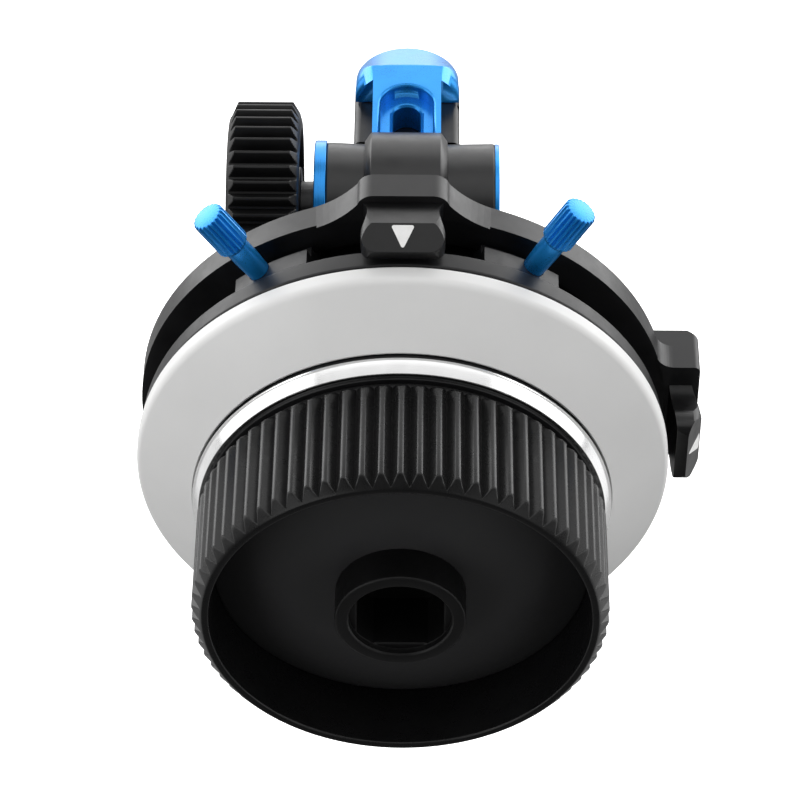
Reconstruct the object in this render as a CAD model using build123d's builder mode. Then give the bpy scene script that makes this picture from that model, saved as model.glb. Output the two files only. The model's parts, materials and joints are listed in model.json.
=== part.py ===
from build123d import *
import math
import os

os.makedirs("parts", exist_ok=True)

# ---------------------------------------------------------------------------
# Follow focus unit. Millimetres, +Z up.
# The origin is the centre of the 15 mm rod bore; the rod runs along X.
# The hand wheel's axis runs along Y and the wheel faces -Y.
# "s" below is the distance along the wheel's axis, measured from the front
# plane of the marking disc's rim: s < 0 is towards the operator.
# ---------------------------------------------------------------------------
rod_r = 7.5                # 15 mm support rod
rod_to_disc = 81.5         # rod centre to s = 0
knob_z = 10.0              # wheel axis above the rod centre
barrel_s = 56.7            # cross shaft's station behind the disc

# hand wheel
disc_r = 40.0
disc_back = 2.2
cone_in_r = 31.42
cone_in_s = -6.74
seat_r = 29.9              # seat that the marking disc turns on
plate_r = 39.5             # back plate
plate_s0, plate_s1 = 2.6, 6.4
grip_tip_r = 30.35
grip_root_r = 28.95
grip_n = 70
grip_s0, grip_s1 = -30.85, -11.2
cup_r = 27.7
hub_r = 9.55
hub_front = -30.4
socket_w = 12.7
socket_floor = -20.4
dome_rad = 81.0

# stator
flange_r = 40.0
flange_s0, flange_s1 = 12.7, 16.8
drum_r = 30.0
lug_r = 44.35
lug_s0 = 12.2
side_lug_r = 44.95
side_pointer_lift = 0.85

# gearbox
barrel_r = 10.9
barrel_bore = 8.8
barrel_x0, barrel_x1 = -12.8, 14.3
neck_r = 7.3
gear_module = 0.8
gear_teeth = 42
gear_x0, gear_x1 = -28.4, -16.9
bevel_module = 0.6
bevel_teeth = 16

# travel stops
stop_s = 9.5
stop_a_deg = -33.5
stop_b_deg = 30.0

# arm and rod clamp
collar_r = 12.8
collar_half = 6.65
arm_top = 8.0
arm_half = 5.6
dome_half = 8.55
dome_s = 84.6
hood_s = 80.0               # operator side of the dome end
block_half = 8.7


def yy(s):
    """Row Y of a station s on the wheel's axis."""
    return s - rod_to_disc


# sketch planes: MER is a meridian plane, local x = s direction, local y = radius
MER = Plane(origin=(0, yy(0), knob_z), x_dir=(0, 1, 0), z_dir=(1, 0, 0))
KNOB = Axis((0, yy(0), knob_z), (0, 1, 0))
# CRS: local x = X, local y = Z, seen from the front, through the cross shaft
CRS = Plane(origin=(0, yy(barrel_s), knob_z), x_dir=(1, 0, 0), z_dir=(0, -1, 0))
CROSS = Axis((0, yy(barrel_s), knob_z), (1, 0, 0))


def face_at(s):
    """Plane facing the operator at station s: local x = X, local y = Z."""
    return Plane(origin=(0, yy(s), knob_z), x_dir=(1, 0, 0), z_dir=(0, -1, 0))


def end_at(x):
    """Plane facing +X at x, centred on the cross shaft: local x = Y, local y = Z."""
    return Plane(origin=(x, yy(barrel_s), knob_z), x_dir=(0, 1, 0), z_dir=(1, 0, 0))


def side_at(x):
    """Plane facing +X at x, local x = s, local y = height over the wheel axis."""
    return Plane(origin=(x, yy(0), knob_z), x_dir=(0, 1, 0), z_dir=(1, 0, 0))


def level(z):
    """Horizontal plane z above the wheel axis, local x = X, local y = s."""
    return Plane(origin=(0, yy(0), knob_z + z), x_dir=(1, 0, 0), z_dir=(0, 0, 1))


def radial(deg, s, r):
    """Plane facing outward at clock angle deg, station s and radius r."""
    a = math.radians(deg)
    d = (math.sin(a), 0, math.cos(a))
    return Plane(origin=(r * d[0], yy(s), knob_z + r * d[2]), x_dir=(0, 1, 0), z_dir=d)


def clock(deg, r, t):
    """Sketch point on a face_at plane: clock angle, radius, tangential offset."""
    a = math.radians(deg)
    return (r * math.sin(a) + t * math.cos(a), r * math.cos(a) - t * math.sin(a))


def finish(part, name):
    part.label = name
    export_step(part, "parts/" + name + ".step")
    print(name, len(part.solids()), round(part.volume, 1), part.is_valid)


def turned(points, axis=KNOB, plane=MER):
    """A turned piece from (station, radius) points."""
    with BuildPart() as p:
        with BuildSketch(plane):
            with BuildLine():
                Polyline(*points, close=True)
            make_face()
        revolve(axis=axis)
    return p


def star(n, tip, root, tip_frac, root_frac, phase=0.0):
    """Outline points of a ribbed circle, n ridges."""
    pts = []
    step = 2 * math.pi / n
    for k in range(n):
        c = phase + k * step
        for da, r in ((-0.5 + root_frac / 2, root), (-tip_frac / 2, tip), (tip_frac / 2, tip), (0.5 - root_frac / 2, root)):
            a = c + da * step
            pts.append((r * math.sin(a), r * math.cos(a)))
    return pts


# ======================= hand wheel =======================
# main shaft, from the wheel's bolt to the main bevel gear
with BuildPart() as main_shaft:
    with BuildSketch(MER):
        with BuildLine():
            Polyline((-14.0, 0), (-14.0, 3.0), (5.9, 3.0), (5.9, 3.9), (6.9, 3.9), (6.9, 3.0), (53.4, 3.0), (53.4, 0), close=True)
        make_face()
    revolve(axis=KNOB)
    with BuildSketch(face_at(-14.0)):
        Circle(1.65)
    extrude(amount=-11, mode=Mode.SUBTRACT)
finish(main_shaft.part, "main_shaft")

# back plate: carries the wheel, and the stop finger on its rear
with BuildPart() as wheel_back_plate:
    with BuildSketch(MER):
        with BuildLine():
            Polyline((plate_s0, 4.0), (plate_s0, plate_r - 0.5), (plate_s0 + 0.5, plate_r), (plate_s1 - 0.5, plate_r),
                     (plate_s1, plate_r - 0.5), (plate_s1, 31.5), (5.2, 31.0), (5.2, 4.0), close=True)
        make_face()
    revolve(axis=KNOB)
    with BuildSketch(face_at(5.2)):
        with PolarLocations(25.2, 6, start_angle=30):
            Circle(2.7)
    extrude(amount=1.4, mode=Mode.SUBTRACT)
    with BuildSketch(face_at(5.2)):
        with PolarLocations(25.2, 6, start_angle=30):
            Circle(1.5)
    extrude(amount=3.0, mode=Mode.SUBTRACT)
finish(wheel_back_plate.part, "wheel_back_plate")

# finger that meets the stop blocks, at six o'clock
with BuildPart() as stop_finger:
    with BuildSketch(face_at(plate_s1)):
        with Locations((0, -33.5)):
            RectangleRounded(3.8, 3.6, 0.8)
    extrude(amount=-4.6)
finish(stop_finger.part, "stop_finger")

# wheel core: hub, web and the seat of the marking disc
with BuildPart() as wheel_core:
    with BuildSketch(MER):
        with BuildLine():
            Polyline((-9.9, 3.0), (-9.9, 29.0), (-6.4, 29.0), (-6.4, seat_r), (plate_s0, seat_r), (plate_s0, 21.5),
                     (-6.6, 21.5), (-6.6, 8.0), (plate_s0, 8.0), (plate_s0, 3.0), close=True)
        make_face()
    revolve(axis=KNOB)
    with BuildSketch(face_at(plate_s0)):
        with PolarLocations(25.2, 6, start_angle=30):
            Circle(1.5)
    extrude(amount=6.0, mode=Mode.SUBTRACT)
finish(wheel_core.part, "wheel_core")

# black ring that holds the marking disc on its seat
disc_clamp_ring = turned([(-6.4, 29.0), (-6.4, 30.92), (-7.4, 30.92), (-7.55, 30.8), (-7.55, 29.0)])
finish(disc_clamp_ring.part, "disc_clamp_ring")

# bright bevelled trim ring
chrome_ring = turned([(-7.55, 29.0), (-7.55, 31.25), (-8.1, 31.18), (-8.5, 31.04), (-8.9, 30.84), (-9.75, 30.35), (-9.9, 30.1), (-9.9, 29.0)])
finish(chrome_ring.part, "chrome_ring")

# felt that drags on the marking disc
drag_felt = turned([(2.25, 36.9), (2.25, 39.0), (plate_s0, 39.0), (plate_s0, 36.9)])
finish(drag_felt.part, "drag_felt")

# marking disc: a thin conical dish with a rounded rim
with BuildPart() as marking_disc:
    with BuildSketch(MER):
        with BuildLine():
            Polyline((-5.9, seat_r + 0.08), (-5.9, 31.05), (-6.68, 31.15), (cone_in_s, cone_in_r), (-1.35, 39.05))
            ThreePointArc((-1.35, 39.05), (-0.72, 39.72), (0.1, disc_r))
            Polyline((0.1, disc_r), (1.5, disc_r), (disc_back, 39.4), (disc_back, 36.6), (-2.6, 31.6),
                     (-2.6, seat_r + 0.08), (-5.9, seat_r + 0.08))
        make_face()
    revolve(axis=KNOB)
finish(marking_disc.part, "marking_disc")

# knob body behind the face plate, with the smooth collar
with BuildPart() as knob_body:
    with BuildSketch(MER):
        with BuildLine():
            Polyline((-19.3, cup_r), (grip_s1, cup_r), (grip_s1, 28.7), (-10.3, 28.7), (-10.3, 29.6), (-9.9, 29.6), (-9.9, hub_r), (-23.8, hub_r))
            ThreePointArc((-23.8, hub_r), (-22.3, 19.2), (-19.3, cup_r))
        make_face()
    revolve(axis=KNOB)
    with BuildSketch(MER):
        with BuildLine():
            Polyline((-9.9, 12.0), (-9.9, 26.0), (-16.5, 24.5), (-20.3, 17.0), (-21.3, 12.0), close=True)
        make_face()
    revolve(axis=KNOB, mode=Mode.SUBTRACT)
finish(knob_body.part, "knob_body")

# domed glossy face plate in the bottom of the cup
with BuildPart() as face_plate:
    with BuildSketch(MER):
        with BuildLine():
            l1 = Line((-23.8, hub_r), (-24.75, hub_r))
            ThreePointArc((-24.75, hub_r), (-23.3, 19.4), (-20.4, 27.45))
            Line((-20.4, 27.45), (-20.4, cup_r))
            Line((-20.4, cup_r), (-19.3, cup_r))
            ThreePointArc((-19.3, cup_r), (-22.3, 19.2), (-23.8, hub_r))
        make_face()
    revolve(axis=KNOB)
finish(face_plate.part, "face_plate")

# fluted grip ring, its front edge is the cup's lip
with BuildPart() as grip_ring:
    with BuildSketch(face_at(grip_s1)):
        Polygon(*star(grip_n, grip_tip_r, grip_root_r, 0.24, 0.05), align=None)
        Circle(cup_r, mode=Mode.SUBTRACT)
    extrude(amount=grip_s1 - grip_s0)
    with BuildSketch(MER):
        with BuildLine():
            Polyline((grip_s0, 26.0), (grip_s0, 28.72), (-30.6, 28.97), (-29.0, 30.42), (-29.0, 31.0), (-12.7, 31.0), (-12.7, 30.4), (-12.0, 30.1), (-11.5, 29.6), (grip_s1, 29.0),
                     (grip_s1, 26.0), close=True)
        make_face()
    revolve(axis=KNOB, mode=Mode.INTERSECT)
finish(grip_ring.part, "grip_ring")

# hub with the square socket for a crank or a whip
with BuildPart() as crank_socket_hub:
    with BuildSketch(MER):
        with BuildLine():
            Polyline((-9.9, 0), (-9.9, hub_r), (hub_front + 0.5, hub_r), (hub_front, hub_r - 0.6), (hub_front, 7.9), (hub_front + 0.4, 7.5),
                     (hub_front + 1.3, 7.5), (hub_front + 1.3, 0), close=True)
        make_face()
    revolve(axis=KNOB)
    with BuildSketch(face_at(hub_front + 1.3)):
        Circle(7.5)
        Rectangle(socket_w, socket_w, mode=Mode.INTERSECT)
    extrude(amount=hub_front + 1.3 - socket_floor, mode=Mode.SUBTRACT)
    with BuildSketch(face_at(socket_floor)):
        Circle(3.6)
    extrude(amount=-3.6, mode=Mode.SUBTRACT)
    with BuildSketch(face_at(-16.8)):
        Circle(1.65)
    extrude(amount=-2.8, mode=Mode.SUBTRACT)
    with BuildSketch(face_at(-14.0)):
        Circle(3.0)
    extrude(amount=-4.1, mode=Mode.SUBTRACT)
finish(crank_socket_hub.part, "crank_socket_hub")

# socket-head bolt that pulls the hub onto the shaft
with BuildPart() as knob_bolt:
    with BuildSketch(face_at(-16.8)):
        Circle(3.5)
    extrude(amount=3.2)
    with BuildSketch(face_at(-16.8)):
        Circle(1.6)
    extrude(amount=-13.0)
    with BuildSketch(face_at(-20.0)):
        RegularPolygon(1.9, 6)
    extrude(amount=-1.8, mode=Mode.SUBTRACT)
finish(knob_bolt.part, "knob_bolt")

# six screws from the back plate into the core
with BuildPart() as wheel_screws:
    with BuildSketch(face_at(5.15)):
        with PolarLocations(25.2, 6, start_angle=30):
            Circle(2.6)
            RegularPolygon(1.2, 6, mode=Mode.SUBTRACT)
    extrude(amount=0.75)
    with BuildSketch(face_at(4.4)):
        with PolarLocations(25.2, 6, start_angle=30):
            Circle(2.6)
    extrude(amount=0.6)
    with BuildSketch(face_at(3.8)):
        with PolarLocations(25.2, 6, start_angle=30):
            Circle(1.4)
    extrude(amount=6.8)
finish(wheel_screws.part, "wheel_screws")

# bearing rings on the shaft, two bearings
with BuildPart() as bearing_inner_races:
    with BuildSketch(MER):
        with BuildLine():
            Polyline((7.3, 3.0), (7.3, 4.4), (9.0, 4.4), (9.4, 4.0), (10.2, 4.0), (10.6, 4.4), (12.3, 4.4), (12.3, 3.0), close=True)
        make_face()
    revolve(axis=KNOB)
    with BuildSketch(MER):
        with BuildLine():
            Polyline((34.0, 3.0), (34.0, 4.2), (35.5, 4.2), (35.9, 3.85), (37.1, 3.85), (37.5, 4.2), (39.0, 4.2), (39.0, 3.0), close=True)
        make_face()
    revolve(axis=KNOB)
finish(bearing_inner_races.part, "bearing_inner_races")

with BuildPart() as bearing_balls:
    with Locations(face_at(9.8)):
        with PolarLocations(5.9, 8):
            Sphere(1.5)
    with Locations(face_at(36.5)):
        with PolarLocations(5.35, 9):
            Sphere(1.2)
finish(bearing_balls.part, "bearing_balls")


# bevel gears: cone apex on the cross shaft's axis
bev_rp = bevel_module * bevel_teeth / 2
bev_ha, bev_hf, bev_k = 0.42, 0.58, 0.62
root2 = math.sqrt(0.5)


def bevel_tooth():
    """One tapered tooth, its middle over +X, apex at the origin."""
    outline = ((-0.17, bev_ha), (0.17, bev_ha), (0.385, 0), (0.66, -bev_hf - 0.15), (-0.66, -bev_hf - 0.15), (-0.385, 0))
    with BuildPart() as tooth:
        for f in (1.0, bev_k):
            with BuildSketch(Plane(origin=(bev_rp * f, 0, -bev_rp * f), x_dir=(0, 1, 0), z_dir=(root2, 0, -root2))):
                with BuildLine():
                    Polyline(*[(w * f, h * f) for w, h in outline], close=True)
                make_face()
        loft(ruled=True)
    return tooth.part


def bevel(phase, hub_len, hub_rad, bore):
    """45 degree bevel gear on +Z, apex at the origin, gear below it."""
    tooth = bevel_tooth()
    root_r = bev_rp - bev_hf * root2
    root_z = -bev_rp - bev_hf * root2
    with BuildPart() as gear:
        with BuildSketch(Plane.XZ):
            with BuildLine():
                Polyline((0, root_z), (root_r, root_z), (root_r * bev_k, root_z * bev_k), (0, root_z * bev_k), close=True)
            make_face()
        revolve(axis=Axis.Z)
        with BuildSketch(Plane.XY.offset(root_z)):
            Circle(hub_rad)
        extrude(amount=-hub_len)
        for i in range(bevel_teeth):
            add(tooth, rotation=(0, 0, phase + 360.0 * i / bevel_teeth))
        with BuildSketch(Plane.XY.offset(root_z - 20)):
            Circle(bore)
        extrude(amount=30, mode=Mode.SUBTRACT)
    return gear.part


# the main gear's axis is the wheel's: its +Z goes to +Y
main_bevel_gear = bevel(0.0, 1.6, 4.0, 3.0).moved(Plane(origin=(0, yy(barrel_s), knob_z), x_dir=(-1, 0, 0), z_dir=(0, 1, 0)).location)
finish(main_bevel_gear, "main_bevel_gear")
# the pinion's axis is the cross shaft: its +Z goes to +X
bevel_pinion = bevel(180.0 / bevel_teeth, 3.6, 4.0, 2.0).moved(Plane(origin=(0, yy(barrel_s), knob_z), x_dir=(0, -1, 0), z_dir=(1, 0, 0)).location)
finish(bevel_pinion, "bevel_pinion")

# ======================= stator and gearbox =======================
# rear flange: plate, undercut track for the stop blocks, two lugs
with BuildPart() as rear_flange:
    with BuildSketch(MER):
        with BuildLine():
            Polyline((flange_s0, 12.0), (flange_s0, flange_r), (flange_s1, flange_r), (flange_s1, 12.0), close=True)
        make_face()
    revolve(axis=KNOB)
    # top lug with swept shoulders
    with BuildSketch(face_at(flange_s1)):
        with BuildLine():
            Polyline((-13.59, 37.0), (-13.59, 37.588))
            ThreePointArc((-13.59, 37.588), (-9.8, 39.59), (-6.7, 42.55))
            ThreePointArc((-6.7, 42.55), (-5.8, 43.85), (-4.3, lug_r))
            Line((-4.3, lug_r), (4.3, lug_r))
            ThreePointArc((4.3, lug_r), (5.8, 43.85), (6.7, 42.55))
            ThreePointArc((6.7, 42.55), (9.8, 39.59), (13.59, 37.588))
            Polyline((13.59, 37.588), (13.59, 37.0), (-13.59, 37.0))
        make_face()
    extrude(amount=flange_s1 - lug_s0)
    # side lug, longer and wider, run into the rim with hollow corners
    with BuildSketch(face_at(20.2)):
        with BuildLine():
            Polyline((34.0, 9.6), (side_lug_r - 1.0, 9.6))
            ThreePointArc((side_lug_r - 1.0, 9.6), (side_lug_r - 0.29, 9.31), (side_lug_r, 8.6))
            Line((side_lug_r, 8.6), (side_lug_r, -8.6))
            ThreePointArc((side_lug_r, -8.6), (side_lug_r - 0.29, -9.31), (side_lug_r - 1.0, -9.6))
            Polyline((side_lug_r - 1.0, -9.6), (34.0, -9.6), (34.0, 9.6))
        make_face()
    extrude(amount=20.2 - lug_s0)
    for m in (1, -1):
        with BuildSketch(face_at(flange_s1)):
            with BuildLine():
                Polyline((41.11, m * 9.6), (36.0, m * 9.0), (36.0, m * 11.72), (38.24, m * 11.72))
                ThreePointArc((38.24, m * 11.72), (39.33, m * 10.19), (41.11, m * 9.6))
            make_face()
        extrude(amount=flange_s1 - lug_s0)
    # the lug's rear outer corner is eased
    with BuildSketch(level(0)):
        with BuildLine():
            Polyline((46.0, 18.9), (side_lug_r, 18.9), (43.3, 20.2), (43.3, 21.0), (46.0, 21.0), close=True)
        make_face()
    extrude(amount=11, both=True, mode=Mode.SUBTRACT)
    # the operator side of the plate is cut back to its face inside the rim
    with BuildSketch(MER):
        with BuildLine():
            Polyline((lug_s0 - 0.2, 12.0), (lug_s0 - 0.2, flange_r + 0.02), (flange_s0, flange_r + 0.02), (flange_s0, 12.0), close=True)
        make_face()
    revolve(axis=KNOB, mode=Mode.SUBTRACT)
    # track
    with BuildSketch(MER):
        with BuildLine():
            Polyline((flange_s0 - 0.1, 32.8), (flange_s0 - 0.1, 35.2), (14.9, 35.2), (14.9, 32.8), close=True)
        make_face()
    revolve(axis=KNOB, mode=Mode.SUBTRACT)
    # screw holes
    with BuildSketch(face_at(flange_s1)):
        with PolarLocations(16.5, 4, start_angle=45):
            Circle(1.55)
    extrude(amount=6.0, mode=Mode.SUBTRACT)
    for deg, back in ((0, flange_s1), (90, 20.2)):
        with BuildSketch(face_at(back)):
            with Locations(*[clock(deg, 41.9, t) for t in (-2.6, 2.6)]):
                Circle(1.55)
        extrude(amount=1.2, mode=Mode.SUBTRACT)
        with BuildSketch(face_at(back)):
            with Locations(*[clock(deg, 41.9, t) for t in (-2.6, 2.6)]):
                Circle(0.85)
        extrude(amount=12.0, mode=Mode.SUBTRACT)
finish(rear_flange.part, "rear_flange")

# drum that the stop blocks ride on; it holds the front bearing
with BuildPart() as stop_drum:
    with BuildSketch(MER):
        with BuildLine():
            Polyline((7.0, 9.5), (7.0, drum_r - 0.4), (7.4, drum_r), (flange_s0, drum_r), (flange_s0, 9.5), close=True)
        make_face()
    revolve(axis=KNOB)
    with BuildSketch(face_at(flange_s0)):
        with PolarLocations(16.5, 4, start_angle=45):
            Circle(1.55)
    extrude(amount=4.5, mode=Mode.SUBTRACT)
finish(stop_drum.part, "stop_drum")

# gearbox housing: base flange, neck and barrel in one casting
with BuildPart() as gearbox_housing:
    with BuildSketch(MER):
        with BuildLine():
            Polyline((flange_s0, 0), (flange_s0, 12.0), (flange_s1, 12.0), (flange_s1, 20.5), (20.3, 20.5), (20.8, 20.0), (20.8, 12.6), (21.2, 11.6),
                     (22.8, 10.6), (37.5, 10.2), (42.0, neck_r), (barrel_s, neck_r), (barrel_s, 0), close=True)
        make_face()
    revolve(axis=KNOB)
    with BuildSketch(CRS):
        with BuildLine():
            Polyline((barrel_x0, 0), (barrel_x0, barrel_r), (barrel_x0 + 0.3, barrel_r + 0.22), (-7.2, barrel_r), (7.2, barrel_r),
                     (barrel_x1 - 0.3, barrel_r + 0.16), (barrel_x1, barrel_r - 0.05), (barrel_x1, 0), close=True)
        make_face()
    revolve(axis=CROSS)
    with BuildSketch(end_at(barrel_x0)):
        Circle(barrel_bore)
    extrude(amount=barrel_x1 - barrel_x0, mode=Mode.SUBTRACT)
    with BuildSketch(face_at(flange_s0)):
        Circle(7.5)
    extrude(amount=-(39.0 - flange_s0), mode=Mode.SUBTRACT)
    with BuildSketch(face_at(39.0)):
        Circle(5.5)
    extrude(amount=-14.0, mode=Mode.SUBTRACT)
    with BuildSketch(face_at(20.8)):
        with PolarLocations(16.5, 4, start_angle=45):
            Circle(1.55)
    extrude(amount=5.0, mode=Mode.SUBTRACT)
finish(gearbox_housing.part, "gearbox_housing")

# four screws through the base flange and the rear flange into the drum
with BuildPart() as flange_screws:
    with BuildSketch(face_at(20.8)):
        with PolarLocations(16.5, 4, start_angle=45):
            Circle(2.75)
            RegularPolygon(1.45, 6, mode=Mode.SUBTRACT)
    extrude(amount=-3.0)
    with BuildSketch(face_at(22.3)):
        with PolarLocations(16.5, 4, start_angle=45):
            Circle(1.5)
    extrude(amount=13.8)
finish(flange_screws.part, "flange_screws")

bearing_outer_races_front = [(7.3, 9.5), (7.3, 7.4), (9.0, 7.4), (9.4, 7.85), (10.2, 7.85), (10.6, 7.4), (12.3, 7.4), (12.3, 9.5)]
bearing_outer_races_rear = [(34.0, 7.5), (34.0, 6.5), (35.6, 6.5), (36.0, 6.85), (37.0, 6.85), (37.4, 6.5), (39.0, 6.5), (39.0, 7.5)]
with BuildPart() as bearing_outer_races:
    with BuildSketch(MER):
        with BuildLine():
            Polyline(*bearing_outer_races_front, close=True)
        make_face()
        with BuildLine():
            Polyline(*bearing_outer_races_rear, close=True)
        make_face()
    revolve(axis=KNOB)
finish(bearing_outer_races.part, "bearing_outer_races")

# bushes of the cross shaft
gear_side_bush = turned([(barrel_x0, 4.9), (barrel_x0, barrel_bore), (-9.2, barrel_bore), (-9.2, 3.06), (-12.0, 3.06), (-12.0, 4.9)], CROSS, CRS)
finish(gear_side_bush.part, "gear_side_bush")
far_side_bush = turned([(9.3, 2.06), (9.3, barrel_bore), (13.2, barrel_bore), (13.2, 2.06)], CROSS, CRS)
finish(far_side_bush.part, "far_side_bush")

# blue end rings and the far cap
gear_side_end_ring = turned([(barrel_x0, 4.95), (barrel_x0, 11.2), (barrel_x0 - 0.25, 11.45), (-14.45, 11.45), (-14.7, 11.2), (-14.7, 5.3), (-14.35, 4.95)], CROSS, CRS)
finish(gear_side_end_ring.part, "gear_side_end_ring")
far_side_end_ring = turned([(barrel_x1, 8.0), (barrel_x1, 11.0), (barrel_x1 + 0.45, 11.0), (barrel_x1 + 0.7, 10.75), (barrel_x1 + 0.7, 8.0)], CROSS, CRS)
finish(far_side_end_ring.part, "far_side_end_ring")
with BuildPart() as far_end_cap:
    with BuildSketch(CRS):
        with BuildLine():
            Polyline((13.2, 0), (13.2, 7.95), (14.5, 7.95), (14.8, 7.6), (14.8, 0), close=True)
        make_face()
    revolve(axis=CROSS)
    with BuildSketch(end_at(14.8)):
        with PolarLocations(5.2, 2):
            Circle(0.9)
    extrude(amount=-0.8, mode=Mode.SUBTRACT)
finish(far_end_cap.part, "far_end_cap")


# pointers: one form at twelve and at three o'clock, where it stands a little prouder
def pointer(deg, lift):
    a = math.radians(deg)
    out = (math.sin(a), 0, math.cos(a))
    tan = (math.cos(a), 0, -math.sin(a))
    flat = Plane(origin=(40.0 * out[0], yy(0), knob_z + 40.0 * out[2]), x_dir=tan, z_dir=out)
    prof = Plane(origin=(-8 * tan[0], yy(0), knob_z - 8 * tan[2]), x_dir=(0, 1, 0), z_dir=tan)
    with BuildPart() as p:
        with BuildSketch(flat):
            # local x = tangent, local y = out x tangent = -Y at twelve o'clock
            sg = flat.y_dir.Y
            def q(t, s):
                return (t, s * sg)
            with BuildLine():
                ThreePointArc(q(-5.8, lug_s0), q(-5.4, 11.4), q(-5.2, 10.3))
                ThreePointArc(q(-5.2, 10.3), q(-5.3, 8.7), q(-5.75, 7.3))
                ThreePointArc(q(-5.75, 7.3), q(-6.08, 6.0), q(-6.0, 4.8))
                ThreePointArc(q(-6.0, 4.8), q(-5.25, 3.3), q(-3.7, 2.8))
                Line(q(-3.7, 2.8), q(3.7, 2.8))
                ThreePointArc(q(3.7, 2.8), q(5.25, 3.3), q(6.0, 4.8))
                ThreePointArc(q(6.0, 4.8), q(6.08, 6.0), q(5.75, 7.3))
                ThreePointArc(q(5.75, 7.3), q(5.3, 8.7), q(5.2, 10.3))
                ThreePointArc(q(5.2, 10.3), q(5.4, 11.4), q(5.8, lug_s0))
                Line(q(5.8, lug_s0), q(-5.8, lug_s0))
            make_face()
        extrude(amount=6)
        with BuildSketch(prof):
            rs = prof.y_dir.X * out[0] + prof.y_dir.Z * out[2]
            with BuildLine():
                Polyline((lug_s0, 40.4 * rs), (lug_s0, (43.0 + lift) * rs), (6.6, (44.3 + lift) * rs), (2.8, (42.15 + lift) * rs),
                         (3.3, (40.4 + lift) * rs), close=True)
            make_face()
        extrude(amount=16, mode=Mode.INTERSECT)
        # rounded shoulders, seen from the front
        with BuildSketch(face_at(2.0)):
            with BuildLine():
                Polyline(clock(deg, 44.4 + lift, -3.6), clock(deg, 44.4 + lift, 3.6))
                ThreePointArc(clock(deg, 44.4 + lift, 3.6), clock(deg, 43.74 + lift, 5.42), clock(deg, 42.2 + lift, 6.2))
                Polyline(clock(deg, 42.2 + lift, 6.2), clock(deg, 40.0, 6.3), clock(deg, 40.0, -6.3), clock(deg, 42.2 + lift, -6.2))
                ThreePointArc(clock(deg, 42.2 + lift, -6.2), clock(deg, 43.74 + lift, -5.42), clock(deg, 44.4 + lift, -3.6))
            make_face()
        extrude(amount=-12, mode=Mode.INTERSECT)
    return p


def pointer_face(deg, lift):
    """Plane on a pointer's slanted face, at the middle of its mark."""
    a = math.radians(deg)
    out = (math.sin(a), 0, math.cos(a))
    ds, dr = 6.6 - 2.8, 44.3 - 42.15
    ln = math.hypot(ds, dr)
    # normal: away from the slope, towards the operator and outward
    n = (out[0] * ds / ln, -dr / ln, out[2] * ds / ln)
    up = (out[0] * dr / ln, ds / ln, out[2] * dr / ln)
    t = (math.cos(a), 0, -math.sin(a))
    s0, r0 = 4.7, 43.225 + lift
    return Plane(origin=(r0 * out[0], yy(s0), knob_z + r0 * out[2]), x_dir=t, z_dir=n), up


tri = ((-1.74, 1.87), (1.74, 1.87), (0.0, -1.85))
for deg, lift, pn in ((0, 0.0, "top_pointer"), (90, side_pointer_lift, "side_pointer")):
    body = pointer(deg, lift)
    pl, up = pointer_face(deg, lift)
    sgn = 1 if pl.y_dir.dot(Vector(*up)) > 0 else -1
    with BuildPart() as mark:
        with BuildSketch(pl):
            with BuildLine():
                Polyline(*[(x, y * sgn) for x, y in tri], close=True)
            make_face()
            fillet(vertices(), 0.28)
        extrude(amount=-0.35)
    with BuildPart() as ptr:
        add(body.part)
        with BuildSketch(pl):
            with BuildLine():
                Polyline(*[(x, y * sgn) for x, y in tri], close=True)
            make_face()
            fillet(vertices(), 0.28)
        extrude(amount=-0.35, mode=Mode.SUBTRACT)
        with BuildSketch(face_at(lug_s0)):
            with Locations(*[clock(deg, 41.9, t) for t in (-2.6, 2.6)]):
                Circle(0.85)
        extrude(amount=4.4, mode=Mode.SUBTRACT)
    finish(ptr.part, pn)
    finish(mark.part, pn + "_mark")

# two screws through each lug into its pointer
with BuildPart() as pointer_screws:
    for deg, back in ((0, flange_s1), (90, 20.2)):
        with BuildSketch(face_at(back - 0.1)):
            with Locations(*[clock(deg, 41.9, t) for t in (-2.6, 2.6)]):
                Circle(1.5)
                RegularPolygon(0.75, 6, mode=Mode.SUBTRACT)
        extrude(amount=0.7)
        with BuildSketch(face_at(back - 0.8)):
            with Locations(*[clock(deg, 41.9, t) for t in (-2.6, 2.6)]):
                Circle(1.5)
        extrude(amount=0.4)
        with BuildSketch(face_at(back - 1.2)):
            with Locations(*[clock(deg, 41.9, t) for t in (-2.6, 2.6)]):
                Circle(0.8)
        extrude(amount=back - 1.2 - 8.2)
finish(pointer_screws.part, "pointer_screws")

# ======================= cross shaft and drive gear =======================
with BuildPart() as cross_shaft:
    with BuildSketch(CRS):
        with BuildLine():
            Polyline((gear_x0 + 2.4, 0), (gear_x0 + 2.4, 3.0), (gear_x1, 3.0), (gear_x1, 4.8), (-12.1, 4.8), (-12.1, 3.0), (-9.1, 3.0), (-9.1, 2.0),
                     (13.0, 2.0), (13.0, 0), close=True)
        make_face()
    revolve(axis=CROSS)
    with BuildSketch(end_at(gear_x0 + 2.4)):
        Circle(1.3)
    extrude(amount=9, mode=Mode.SUBTRACT)
finish(cross_shaft.part, "cross_shaft")

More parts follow.
